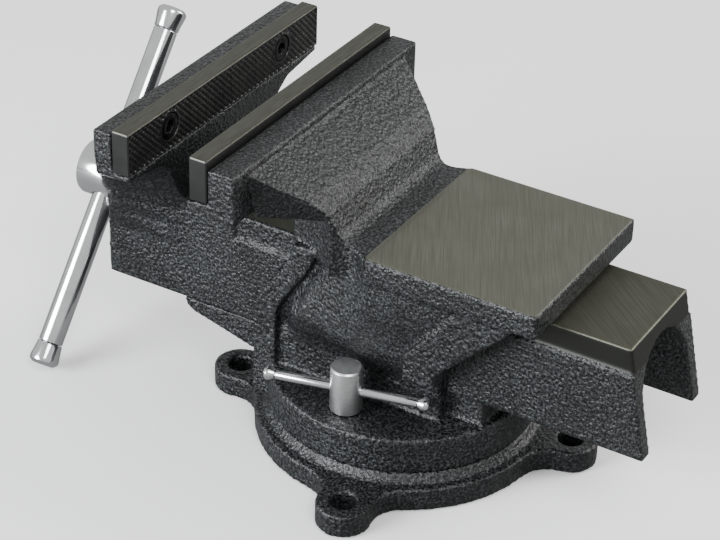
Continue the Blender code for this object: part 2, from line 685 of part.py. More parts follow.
def moving_jaw(parts, cutters):
    """The moving jaw and its slide, one casting."""
    jaw = loft("moving_jaw", parts, jaw_rings())
    section = slide_section()
    slide_front = NOSE_Y + NOSE_WALL
    slide = prism(
        "slide_channel", cutters, section, 1, slide_front - 1 * MM, SLIDE_END_Y + 2 * SLIDE_END_SLANT,
    )
    slope = SLIDE_END_SLANT / (SLIDE_TOP_Z - SLIDE_BOTTOM_Z)
    reach = 10 * MM
    beyond = SLIDE_END_Y + 4 * SLIDE_END_SLANT
    end_outline = [
        (SLIDE_END_Y - slope * reach, SLIDE_TOP_Z + reach),
        (beyond, SLIDE_TOP_Z + reach),
        (beyond, SLIDE_BOTTOM_Z - reach),
        (SLIDE_END_Y + SLIDE_END_SLANT + slope * reach, SLIDE_BOTTOM_Z - reach),
    ]
    end_cut = prism("slide_end_cut", cutters, end_outline, 0, -SLIDE_HALF_WIDTH * 2, SLIDE_HALF_WIDTH * 2)
    boolean(slide, [end_cut], "DIFFERENCE")

    inner = SLIDE_HALF_WIDTH - SLIDE_WALL
    arch_z = SLIDE_TOP_Z - SLIDE_WALL - inner
    hollow_outline = arc((0, arch_z), inner, 0, math.pi, 12)
    hollow_outline += [(-inner, SLIDE_BOTTOM_Z - 5 * MM), (inner, SLIDE_BOTTOM_Z - 5 * MM)]
    cheek_y = MOVING_FACE_Y + 22 * MM
    cheeks = box(
        "slide_cheeks", cutters,
        (-SLIDE_HALF_WIDTH, NOSE_Y + NOSE_WALL / 2, SLIDE_TOP_Z - 2 * STRIP_HEIGHT),
        (SLIDE_HALF_WIDTH, cheek_y, SLIDE_TOP_Z),
    )
    hollow = prism("jaw_hollow", cutters, hollow_outline, 1, slide_front, cheek_y + 5 * MM)
    seat = box(
        "plate_seat", cutters,
        (-JAW_WIDTH, MOVING_FACE_Y - PLATE_THICKNESS - CLEARANCE, PLATE_BOTTOM_Z - CLEARANCE),
        (JAW_WIDTH, MOVING_FACE_Y + 10 * MM, JAW_TOP_Z + 10 * MM),
    )
    boss = rod(
        "screw_boss", cutters, (0, NOSE_Y + 8 * MM, SCREW_Z), (0, NOSE_Y - BOSS_LENGTH, SCREW_Z), 19 * MM,
        32,
    )
    bore = rod(
        "screw_bore", cutters,
        (0, NOSE_Y - 10 * MM, SCREW_Z), (0, slide_front + 5 * MM, SCREW_Z), LEAD_RADIUS + RUNNING, 32,
    )
    cuts = [hollow, seat, bore]
    for side, head, into in plate_screw_places(MOVING_FACE_Y, -1):
        start = head + into * (PLATE_THICKNESS - 2 * MM)
        end = head + into * (SCREW_HEAD_HEIGHT + SCREW_SHANK_LENGTH + 1 * MM)
        cuts.append(rod(
            f"moving_screw_hole_{side}", cutters, start, end, SCREW_SHANK_RADIUS + CLEARANCE, 16,
        ))
    boolean(jaw, [slide, cheeks, boss], "UNION")
    boolean(jaw, cuts, "DIFFERENCE")
    return jaw


def jaw_plate(name, parts, cutters, face_y, into):
    """A serrated plate, with two counterbored holes; into is the way towards its casting."""
    back_y = face_y + into * PLATE_THICKNESS
    half = JAW_WIDTH / 2
    plate = box(
        name, parts, (-half, min(face_y, back_y), PLATE_BOTTOM_Z), (half, max(face_y, back_y), JAW_TOP_Z),
    )
    bevel(plate, 0.5 * MM, 1)
    cuts = []
    for side, head, way in plate_screw_places(face_y, into):
        deep = head + way * (SCREW_HEAD_HEIGHT + 2 * CLEARANCE)
        through = head + way * (PLATE_THICKNESS + 2 * MM)
        radius = SCREW_HEAD_RADIUS + CLEARANCE
        cuts.append(rod(f"{name}_counterbore_{side}", cutters, head - way * 2 * MM, deep, radius, 24))
        cuts.append(rod(f"{name}_hole_{side}", cutters, head, through, SCREW_SHANK_RADIUS + CLEARANCE, 16))
    boolean(plate, cuts, "DIFFERENCE")
    return plate


def plate_screw(name, parts, cutters, head, way):
    """A socket-head screw whose head lies just under the face of its plate."""
    top = head + way * CLEARANCE
    seat = top + way * SCREW_HEAD_HEIGHT
    screw = rod(name, parts, top, seat, SCREW_HEAD_RADIUS, 24)
    shank_start = seat - way * 1 * MM
    shank = rod(
        f"{name}_shank", cutters, shank_start, seat + way * SCREW_SHANK_LENGTH, SCREW_SHANK_RADIUS, 16,
    )
    socket = rod(f"{name}_socket", cutters, top - way * 1 * MM, top + way * HEX_DEPTH, HEX_RADIUS, 6)
    boolean(screw, [shank], "UNION")
    boolean(screw, [socket], "DIFFERENCE")
    return screw


def lead_screw(parts, cutters):
    """The lead screw, plain at its major diameter, with the head that the handle passes through."""
    shoulder = Vector((0, LEAD_SHOULDER_Y, SCREW_Z))
    rim_y = LEAD_SHOULDER_Y - LEAD_HEAD_LENGTH
    screw = rod("lead_screw", parts, (0, rim_y, SCREW_Z), shoulder, LEAD_HEAD_RADIUS, 36)
    bevel(screw, 1.2 * MM, 2)
    shaft = rod(
        "lead_shaft", cutters, shoulder - Vector((0, 2 * MM, 0)), (0, LEAD_END_Y, SCREW_Z), LEAD_RADIUS, 28,
    )
    bevel(shaft, 1 * MM, 1)
    middle = Vector((0, HANDLE_Y, SCREW_Z))
    bar = handle_direction() * 2 * LEAD_HEAD_RADIUS
    hole = rod("handle_hole", cutters, middle - bar, middle + bar, HANDLE_RADIUS + RUNNING, 28)
    pin_middle = Vector((0, collar_y() + COLLAR_LENGTH / 2, SCREW_Z))
    pin_reach = Vector((COLLAR_RADIUS, 0, 0))
    pin_hole = rod(
        "pin_hole", cutters, pin_middle - pin_reach, pin_middle + pin_reach, PIN_RADIUS + CLEARANCE, 16,
    )
    boolean(screw, [shaft], "UNION")
    boolean(screw, [hole, pin_hole], "DIFFERENCE")
    put_on_axis(screw, middle)
    return screw


def handle_direction():
    return Vector((-math.cos(HANDLE_TILT), 0, math.sin(HANDLE_TILT)))


def collar_y():
    return NOSE_Y + NOSE_WALL + RUNNING


def thrust_washer(parts, cutters):
    start_y = LEAD_SHOULDER_Y + CLEARANCE
    end_y = start_y + WASHER_THICKNESS
    washer = rod("thrust_washer", parts, (0, start_y, SCREW_Z), (0, end_y, SCREW_Z), 16.5 * MM, 36)
    hole = rod(
        "washer_hole", cutters,
        (0, start_y - 2 * MM, SCREW_Z), (0, end_y + 2 * MM, SCREW_Z), LEAD_RADIUS + CLEARANCE, 28,
    )
    boolean(washer, [hole], "DIFFERENCE")
    return washer


def retaining_collar(parts, cutters):
    """The collar behind the jaw's front wall, which makes the screw draw the jaw back out."""
    start_y = collar_y()
    end_y = start_y + COLLAR_LENGTH
    collar = rod(
        "retaining_collar", parts, (0, start_y, SCREW_Z), (0, end_y, SCREW_Z), COLLAR_RADIUS - 3.5 * MM, 32,
    )
    hole = rod(
        "collar_hole", cutters,
        (0, start_y - 2 * MM, SCREW_Z), (0, end_y + 2 * MM, SCREW_Z), LEAD_RADIUS + CLEARANCE, 28,
    )
    middle = Vector((0, start_y + COLLAR_LENGTH / 2, SCREW_Z))
    reach = Vector((COLLAR_RADIUS, 0, 0))
    pin_hole = rod("collar_pin_hole", cutters, middle - reach, middle + reach, PIN_RADIUS + CLEARANCE, 16)
    boolean(collar, [hole, pin_hole], "DIFFERENCE")
    return collar


def collar_pin(parts):
    middle = Vector((0, collar_y() + COLLAR_LENGTH / 2, SCREW_Z))
    reach = Vector((COLLAR_RADIUS - 3.8 * MM, 0, 0))
    return rod("collar_pin", parts, middle - reach, middle + reach, PIN_RADIUS, 16)


def lead_nut(parts, cutters):
    """The nut on the floor of the housing, inside the channel."""
    end_y = NUT_FRONT_Y + NUT_LENGTH
    low = (-NUT_HALF_WIDTH, NUT_FRONT_Y, FLOOR_Z + CLEARANCE)
    nut = box("lead_nut", parts, low, (NUT_HALF_WIDTH, end_y, SCREW_Z - 4 * MM))
    barrel_radius = LEAD_RADIUS + CLEARANCE + NUT_WALL
    barrel = rod("nut_barrel", cutters, (0, NUT_FRONT_Y, SCREW_Z), (0, end_y, SCREW_Z), barrel_radius, 32)
    bore = rod(
        "nut_bore", cutters,
        (0, NUT_FRONT_Y - 5 * MM, SCREW_Z), (0, end_y + 5 * MM, SCREW_Z), LEAD_RADIUS + CLEARANCE, 28,
    )
    tapped = rod(
        "nut_tapped_hole", cutters,
        (0, NUT_BOLT_Y, FLOOR_Z - 2 * MM), (0, NUT_BOLT_Y, nut_bolt_top() + CLEARANCE),
        NUT_BOLT_RADIUS + CLEARANCE, 20,
    )
    reach = SLIDE_HALF_WIDTH - SLIDE_WALL - RUNNING
    arch_z = SLIDE_TOP_Z - SLIDE_WALL - RUNNING - reach
    front_y = NUT_FRONT_Y - 5 * MM
    room = rod("nut_room", cutters, (0, front_y, arch_z), (0, end_y + 5 * MM, arch_z), reach, 48)
    below = box("nut_room_below", cutters, (-reach, front_y, 0), (reach, end_y + 5 * MM, arch_z))
    boolean(room, [below], "UNION")
    boolean(nut, [barrel], "UNION")
    boolean(nut, [bore, tapped], "DIFFERENCE")
    boolean(nut, [room], "INTERSECT")
    return nut


def nut_bolt_top():
    return SCREW_Z - LEAD_RADIUS - 6 * MM


def nut_bolt(parts, cutters):
    seat = DISC_BOTTOM_Z + DISC_RECESS_DEPTH - CLEARANCE
    low = (0, NUT_BOLT_Y, seat - NUT_BOLT_HEAD_HEIGHT)
    bolt = rod("nut_bolt", parts, low, (0, NUT_BOLT_Y, seat), NUT_BOLT_HEAD_RADIUS, 6)
    shank = rod(
        "nut_bolt_shank", cutters,
        (0, NUT_BOLT_Y, seat - 1 * MM), (0, NUT_BOLT_Y, nut_bolt_top()), NUT_BOLT_RADIUS, 20,
    )
    boolean(bolt, [shank], "UNION")
    return bolt


def handle(parts, cutters, chrome):
    """The sliding bar and its two pressed caps."""
    way = handle_direction()
    through = Vector((0, HANDLE_Y, SCREW_Z))
    middle = through - way * HANDLE_SHIFT
    half = HANDLE_LENGTH / 2
    neck = HANDLE_RADIUS * 0.7
    bar = rod(
        "handle_bar", parts, middle - way * (half - CAP_LENGTH), middle + way * (half - CAP_LENGTH),
        HANDLE_RADIUS, 28,
    )
    spigot_half = half - 4 * MM
    spigot = rod(
        "handle_spigots", cutters, middle - way * spigot_half, middle + way * spigot_half, neck, 20,
    )
    boolean(bar, [spigot], "UNION")
    put_on_axis(bar, through)
    finish(bar, chrome, smooth=True)
    for name, side in (("upper", 1), ("lower", -1)):
        inner = half - CAP_LENGTH + CLEARANCE
        profile = [
            (0, half),
            (CAP_RADIUS * 0.75, half),
            (CAP_RADIUS, half - 1.6 * MM),
            (CAP_RADIUS, half - 3.4 * MM),
            (HANDLE_RADIUS + 0.4 * MM, inner + 2.4 * MM),
            (HANDLE_RADIUS + 0.2 * MM, inner),
            (neck + CLEARANCE, inner),
            (neck + CLEARANCE, spigot_half + CLEARANCE),
            (0, spigot_half + CLEARANCE),
        ]
        cap = turned(f"handle_cap_{name}", parts, profile, 28)
        cap.rotation_euler = (way * side).to_track_quat("Z", "Y").to_euler()
        cap.location = middle
        finish(cap, chrome, smooth=True)


def lock_set(parts, cutters, name, side, zinc, chrome, steel):
    """A lock bolt, its square nut in the T-slot, and its small sliding rod with two knobs."""
    x = side * LOCK_X
    axis = Vector((x, LOCK_Y, 0))
    low_z = DISC_TOP_Z + CLEARANCE
    bolt = rod(
        f"lock_bolt_{name}", parts, axis + Vector((0, 0, low_z)), axis + Vector((0, 0, LOCK_TOP_Z)),
        LOCK_RADIUS, 32,
    )
    bevel(bolt, 0.7 * MM, 1)
    nut_top = BASE_HEIGHT - SLOT_LIP - CLEARANCE
    nut_low = SLOT_FLOOR_Z + CLEARANCE
    shank = rod(
        f"lock_shank_{name}", cutters,
        axis + Vector((0, 0, nut_low + 0.5 * MM)), axis + Vector((0, 0, low_z + 1 * MM)), LOCK_SHANK_RADIUS,
        20,
    )
    way = Vector((-side * math.sin(LOCK_ROD_ANGLE), math.cos(LOCK_ROD_ANGLE), 0))
    middle = axis + Vector((0, 0, LOCK_ROD_Z))
    cross = way * LOCK_RADIUS * 2
    hole = rod(
        f"lock_rod_hole_{name}", cutters, middle - cross, middle + cross, LOCK_ROD_RADIUS + CLEARANCE, 16,
    )
    boolean(bolt, [shank], "UNION")
    boolean(bolt, [hole], "DIFFERENCE")
    put_on_axis(bolt, middle)
    finish(bolt, zinc, smooth=True)

    half = LOCK_ROD_LENGTH / 2
    rod_half = half - KNOB_LENGTH * 0.4
    small = rod(
        f"lock_rod_{name}", parts, middle - way * rod_half, middle + way * rod_half, LOCK_ROD_RADIUS, 20,
    )
    shoulders = []
    for end in (-1, 1):
        start = middle + way * end * (half - KNOB_LENGTH - CLEARANCE)
        shoulders.append(rod(
            f"lock_rod_end_{name}_{end}", cutters, start, start + way * end * KNOB_LENGTH,
            LOCK_ROD_RADIUS * 2, 16,
        ))
    core = rod(
        f"lock_rod_core_{name}", cutters, middle - way * rod_half, middle + way * rod_half,
        LOCK_ROD_RADIUS * 0.7, 16,
    )
    boolean(small, shoulders, "DIFFERENCE")
    boolean(small, [core], "UNION")
    put_on_axis(small, middle)
    finish(small, chrome, smooth=True)
    for end_name, end in (("rear", 1), ("front", -1)):
        profile = [
            (0, half),
            (KNOB_RADIUS * 0.7, half),
            (KNOB_RADIUS, half - 1.1 * MM),
            (KNOB_RADIUS, half - 2.6 * MM),
            (LOCK_ROD_RADIUS + 0.25 * MM, half - KNOB_LENGTH + 0.8 * MM),
            (LOCK_ROD_RADIUS + 0.1 * MM, half - KNOB_LENGTH),
            (LOCK_ROD_RADIUS * 0.7 + CLEARANCE, half - KNOB_LENGTH),
            (LOCK_ROD_RADIUS * 0.7 + CLEARANCE, rod_half + CLEARANCE),
            (0, rod_half + CLEARANCE),
        ]
        knob = turned(f"lock_knob_{name}_{end_name}", parts, profile, 20)
        knob.rotation_euler = (way * end).to_track_quat("Z", "Y").to_euler()
        knob.location = middle
        finish(knob, chrome, smooth=True)

    radial = math.atan2(LOCK_Y, x)
    nut = box(
        f"t_nut_{name}", parts,
        (-T_NUT_HALF_WIDTH, -T_NUT_HALF_LENGTH, nut_low), (T_NUT_HALF_WIDTH, T_NUT_HALF_LENGTH, nut_top),
    )
    nut.data.transform(Matrix.Translation(axis) @ Matrix.Rotation(radial, 4, "Z"))
    nut_hole = rod(
        f"t_nut_hole_{name}", cutters,
        axis + Vector((0, 0, nut_low - 1 * MM)), axis + Vector((0, 0, nut_top + 1 * MM)),
        LOCK_SHANK_RADIUS + CLEARANCE, 20,
    )
    boolean(nut, [nut_hole], "DIFFERENCE")
    finish(nut, steel)


def build():
    clear_scene()
    parts = make_collection("bench_vise").objects
    cutters = make_collection("cutters").objects
    paint = make_material("hammered_paint", PAINT)
    plate_steel = make_material("plate_steel", PLATE_STEEL)
    black = make_material("black_screw_steel", BLACK_STEEL)
    chrome = make_material("chrome_plate", CHROME)
    zinc = make_material("zinc_plate", ZINC)
    bronze = make_material("nut_bronze", BRONZE)
    steel = make_material("bare_steel", GROUND)

    finish(swivel_base(parts, cutters), paint)
    finish(pivot_pin(parts), steel, smooth=True)
    finish(static_body(parts, cutters), paint)
    finish(moving_jaw(parts, cutters), paint)
    for name, face_y, into in (("fixed", FIXED_FACE_Y, 1), ("moving", MOVING_FACE_Y, -1)):
        finish(jaw_plate(f"{name}_jaw_plate", parts, cutters, face_y, into), plate_steel)
        for side, head, way in plate_screw_places(face_y, into):
            finish(plate_screw(f"{name}_plate_screw_{side}", parts, cutters, head, way), black)
    finish(lead_screw(parts, cutters), chrome, smooth=True)
    finish(thrust_washer(parts, cutters), steel)
    finish(retaining_collar(parts, cutters), steel)
    finish(collar_pin(parts), steel, smooth=True)
    finish(lead_nut(parts, cutters), bronze)
    finish(nut_bolt(parts, cutters), steel)
    handle(parts, cutters, chrome)
    lock_set(parts, cutters, "right", 1, zinc, chrome, steel)
    lock_set(parts, cutters, "left", -1, zinc, chrome, steel)


build()
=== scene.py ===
import math
import bmesh
import bpy
from mathutils import Matrix, Vector
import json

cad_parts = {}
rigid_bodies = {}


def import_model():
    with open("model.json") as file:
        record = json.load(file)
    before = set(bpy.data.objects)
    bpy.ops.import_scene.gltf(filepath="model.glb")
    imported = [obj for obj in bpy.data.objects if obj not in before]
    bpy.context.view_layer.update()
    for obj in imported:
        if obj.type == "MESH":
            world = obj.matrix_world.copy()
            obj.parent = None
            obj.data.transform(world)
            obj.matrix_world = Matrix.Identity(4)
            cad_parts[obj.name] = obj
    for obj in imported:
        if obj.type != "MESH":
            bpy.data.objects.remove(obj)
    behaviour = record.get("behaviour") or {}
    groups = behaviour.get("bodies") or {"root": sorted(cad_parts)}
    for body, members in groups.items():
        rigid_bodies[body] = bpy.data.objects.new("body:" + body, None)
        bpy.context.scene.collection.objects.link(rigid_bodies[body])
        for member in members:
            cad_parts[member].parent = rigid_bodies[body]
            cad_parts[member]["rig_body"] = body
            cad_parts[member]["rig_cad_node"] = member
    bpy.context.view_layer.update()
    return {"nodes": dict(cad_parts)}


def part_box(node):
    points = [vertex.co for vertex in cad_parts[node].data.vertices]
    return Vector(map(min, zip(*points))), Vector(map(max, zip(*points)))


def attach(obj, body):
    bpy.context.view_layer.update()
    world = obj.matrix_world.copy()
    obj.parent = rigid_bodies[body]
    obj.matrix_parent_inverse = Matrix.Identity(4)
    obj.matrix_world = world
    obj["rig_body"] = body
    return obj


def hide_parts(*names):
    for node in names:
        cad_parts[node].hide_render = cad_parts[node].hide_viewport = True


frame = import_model()
print("frame loaded")

mm = 0.001


# small helpers

def deselectAll():
    if bpy.context.mode != "OBJECT":
        bpy.ops.object.mode_set(mode="OBJECT")
    bpy.ops.object.select_all(action="DESELECT")


def makeActive(piece):
    deselectAll()
    piece.select_set(True)
    bpy.context.view_layer.objects.active = piece


def applyModifier(piece, kind, **settings):
    makeActive(piece)
    modifier = piece.modifiers.new(kind.title(), kind)
    for name, value in settings.items():
        setattr(modifier, name, value)
    bpy.ops.object.modifier_apply(modifier=modifier.name)


def applyPlace(piece):
    makeActive(piece)
    bpy.ops.object.transform_apply(location=True, rotation=True, scale=True)


def copyNode(nodeName, pieceName):
    # a merged copy of a frame node, ready to be reshaped
    piece = frame["nodes"][nodeName].copy()
    piece.data = piece.data.copy()
    piece.name = pieceName
    piece.data.name = pieceName
    piece.parent = None
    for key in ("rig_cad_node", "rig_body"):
        del piece[key]
    bpy.context.scene.collection.objects.link(piece)
    makeActive(piece)
    bpy.ops.object.mode_set(mode="EDIT")
    bpy.ops.mesh.select_all(action="SELECT")
    bpy.ops.mesh.remove_doubles(threshold=0.00001)
    bpy.ops.mesh.dissolve_limited(angle_limit=math.radians(0.4))
    bpy.ops.object.mode_set(mode="OBJECT")
    return piece


def settle(piece, body, material, nodes=()):
    # gives a finished piece its material, its body and the nodes it stands for
    piece.data.materials.clear()
    piece.data.materials.append(material)
    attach(piece, body)
    if nodes:
        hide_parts(*nodes)
    return piece


def softenCasting(piece, voxel, rounds, mostTriangles):
    # the casting's edges and corners become round, as in sand-cast iron
    applyModifier(piece, "REMESH", mode="VOXEL", voxel_size=voxel, use_smooth_shade=True)
    applyModifier(piece, "SMOOTH", factor=0.5, iterations=rounds)
    triangles = 2 * len(piece.data.polygons)
    if triangles > mostTriangles:
        applyModifier(piece, "DECIMATE", decimate_type="COLLAPSE", ratio=mostTriangles / triangles)
    print(piece.name, triangles, "triangles, kept", len(piece.data.polygons))


def roundEdges(piece, width, segments=2, angle=35):
    applyModifier(
        piece, "BEVEL", width=width, segments=segments, limit_method="ANGLE",
        angle_limit=math.radians(angle), use_clamp_overlap=True, harden_normals=False,
    )
    makeActive(piece)
    bpy.ops.object.shade_smooth_by_angle(angle=math.radians(30))


# shader groups

def newGroup(name, inputs, outputs):
    group = bpy.data.node_groups.new(name, "ShaderNodeTree")
    for label, kind, value in inputs:
        socket = group.interface.new_socket(name=label, in_out="INPUT", socket_type=kind)
        socket.default_value = value
    for label, kind in outputs:
        group.interface.new_socket(name=label, in_out="OUTPUT", socket_type=kind)
    return group


def addNode(tree, kind, x, y, **settings):
    node = tree.nodes.new(kind)
    node.location = (x, y)
    for name, value in settings.items():
        setattr(node, name, value)
    return node


def joinNodes(tree, *pairs):
    for start, end in pairs:
        tree.links.new(start, end)


def mathNode(tree, operation, x, y, first=None, second=None, clamp=False):
    node = addNode(tree, "ShaderNodeMath", x, y, operation=operation, use_clamp=clamp)
    for socket, value in zip(node.inputs, (first, second)):
        if value is None:
            continue
        if isinstance(value, (int, float)):
            socket.default_value = value
        else:
            tree.links.new(value, socket)
    return node.outputs[0]


def mixColours(tree, x, y, mask, first, second):
    node = addNode(tree, "ShaderNodeMix", x, y, data_type="RGBA")
    for socket, value in ((node.inputs[0], mask), (node.inputs[6], first), (node.inputs[7], second)):
        if isinstance(value, (int, float, tuple)):
            socket.default_value = value
        else:
            tree.links.new(value, socket)
    return node.outputs[2]


def mixValues(tree, x, y, mask, first, second):
    node = addNode(tree, "ShaderNodeMix", x, y, data_type="FLOAT")
    for socket, value in ((node.inputs[0], mask), (node.inputs[2], first), (node.inputs[3], second)):
        if isinstance(value, (int, float)):
            socket.default_value = value
        else:
            tree.links.new(value, socket)
    return node.outputs[0]


def buildHammerGroup():
    # grainy hammered paint: pooled cells and a fine sparkle
    group = newGroup(
        "hammeredPaint",
        [("Cells", "NodeSocketFloat", 560.0), ("Grain", "NodeSocketFloat", 900.0)],
        [("Height", "NodeSocketFloat"), ("Sparkle", "NodeSocketFloat"), ("Drift", "NodeSocketFloat")],
    )
    enter = addNode(group, "NodeGroupInput", -900, 0)
    leave = addNode(group, "NodeGroupOutput", 700, 0)
    place = addNode(group, "ShaderNodeTexCoord", -900, 250)
    cells = addNode(group, "ShaderNodeTexVoronoi", -500, 250, feature="SMOOTH_F1")
    cells.inputs["Smoothness"].default_value = 0.6
    grain = addNode(group, "ShaderNodeTexNoise", -500, -50)
    grain.inputs["Detail"].default_value = 2.0
    grain.inputs["Roughness"].default_value = 0.65
    drift = addNode(group, "ShaderNodeTexNoise", -500, -350)
    drift.inputs["Scale"].default_value = 28.0
    drift.inputs["Detail"].default_value = 3.0
    joinNodes(
        group,
        (place.outputs["Object"], cells.inputs["Vector"]),
        (place.outputs["Object"], grain.inputs["Vector"]),
        (place.outputs["Object"], drift.inputs["Vector"]),
        (enter.outputs["Cells"], cells.inputs["Scale"]),
        (enter.outputs["Grain"], grain.inputs["Scale"]),
    )
    dome = mathNode(group, "MULTIPLY", -200, 250, cells.outputs["Distance"], 0.8)
    rough = mathNode(group, "MULTIPLY", -200, 0, grain.outputs["Fac"], 0.75)
    height = mathNode(group, "ADD", 100, 200, dome, rough)
    sharp = addNode(group, "ShaderNodeMapRange", 100, -100)
    sharp.inputs["From Min"].default_value = 0.46
    sharp.inputs["From Max"].default_value = 0.64
    joinNodes(
        group,
        (grain.outputs["Fac"], sharp.inputs["Value"]),
        (height, leave.inputs["Height"]),
        (sharp.outputs["Result"], leave.inputs["Sparkle"]),
        (drift.outputs["Fac"], leave.inputs["Drift"]),
    )
    return group


def buildBoxMaskGroup():
    # 1 inside a box with a short soft border, 0 outside it
    group = newGroup(
        "boxMask",
        [("Low", "NodeSocketVector", (0, 0, 0)), ("High", "NodeSocketVector", (1, 1, 1)),
         ("Border", "NodeSocketFloat", 0.0003)],
        [("Mask", "NodeSocketFloat")],
    )
    enter = addNode(group, "NodeGroupInput", -900, 0)
    leave = addNode(group, "NodeGroupOutput", 900, 0)
    place = addNode(group, "ShaderNodeTexCoord", -900, 300)
    above = addNode(group, "ShaderNodeVectorMath", -600, 200, operation="SUBTRACT")
    below = addNode(group, "ShaderNodeVectorMath", -600, -100, operation="SUBTRACT")
    nearest = addNode(group, "ShaderNodeVectorMath", -350, 50, operation="MINIMUM")
    parts = addNode(group, "ShaderNodeSeparateXYZ", -150, 50)
    joinNodes(
        group,
        (place.outputs["Object"], above.inputs[0]),
        (enter.outputs["Low"], above.inputs[1]),
        (enter.outputs["High"], below.inputs[0]),
        (place.outputs["Object"], below.inputs[1]),
        (above.outputs[0], nearest.inputs[0]),
        (below.outputs[0], nearest.inputs[1]),
        (nearest.outputs[0], parts.inputs[0]),
    )
    flat = mathNode(group, "MINIMUM", 100, 100, parts.outputs[0], parts.outputs[1])
    depth = mathNode(group, "MINIMUM", 300, 50, flat, parts.outputs[2])
    joinNodes(
        group,
        (mathNode(group, "DIVIDE", 600, 0, depth, enter.outputs["Border"], clamp=True), leave.inputs["Mask"]),
    )
    return group


def buildBrushedGroup():
    # fine parallel tool marks along one direction, with sharpened streaks and a broad stain
    group = newGroup(
        "toolMarks",
        [("Turn", "NodeSocketVector", (0, 0, 0)), ("Stretch", "NodeSocketVector", (40, 2500, 2500))],
        [("Height", "NodeSocketFloat"), ("Streak", "NodeSocketFloat"), ("Stain", "NodeSocketFloat")],
    )
    enter = addNode(group, "NodeGroupInput", -1000, 0)
    leave = addNode(group, "NodeGroupOutput", 700, 0)
    place = addNode(group, "ShaderNodeTexCoord", -1000, 300)
    turned = addNode(group, "ShaderNodeMapping", -750, 200, vector_type="TEXTURE")
    stretched = addNode(group, "ShaderNodeVectorMath", -500, 200, operation="MULTIPLY")
    marks = addNode(group, "ShaderNodeTexNoise", -250, 200)
    marks.inputs["Scale"].default_value = 1.0
    marks.inputs["Detail"].default_value = 3.0
    stain = addNode(group, "ShaderNodeTexNoise", -250, -200)
    stain.inputs["Scale"].default_value = 60.0
    stain.inputs["Detail"].default_value = 4.0
    joinNodes(
        group,
        (place.outputs["Object"], turned.inputs["Vector"]),
        (enter.outputs["Turn"], turned.inputs["Rotation"]),
        (turned.outputs[0], stretched.inputs[0]),
        (enter.outputs["Stretch"], stretched.inputs[1]),
        (stretched.outputs[0], marks.inputs["Vector"]),
        (place.outputs["Object"], stain.inputs["Vector"]),
        (marks.outputs["Fac"], leave.inputs["Height"]),
        (stain.outputs["Fac"], leave.inputs["Stain"]),
    )
    streak = addNode(group, "ShaderNodeMapRange", 300, 0)
    streak.inputs["From Min"].default_value = 0.35
    streak.inputs["From Max"].default_value = 0.65
    joinNodes(
        group, (marks.outputs["Fac"], streak.inputs["Value"]), (streak.outputs[0], leave.inputs["Streak"]),
    )
    return group


hammerGroup = buildHammerGroup()
boxMaskGroup = buildBoxMaskGroup()
marksGroup = buildBrushedGroup()


def newMaterial(name):
    material = bpy.data.materials.new(name)
    material.use_nodes = True
    tree = material.node_tree
    shader = tree.nodes["Principled BSDF"]
    return material, tree, shader


def placeGroup(tree, group, x, y, **values):
    node = addNode(tree, "ShaderNodeGroup", x, y, node_tree=group)
    for name, value in values.items():
        node.inputs[name].default_value = value
    return node


castingLook = {
    "paintDark": (0.0015, 0.0018, 0.002, 1),
    "paintLight": (0.060, 0.066, 0.068, 1),
    "paintRoughness": 0.32,
    "anvilTones": ((0.12, 0.122, 0.096, 1), (0.20, 0.204, 0.168, 1)),
    "slideTones": ((0.07, 0.071, 0.054, 1), (0.13, 0.133, 0.106, 1)),
    # painted shade: darker colour for bare metal on side faces, standing in for their weaker light
    "bareSidePaintedShade": (0.03, 0.031, 0.028, 1),
    "bareRoughness": 0.42,
    "border": 0.0003,
}


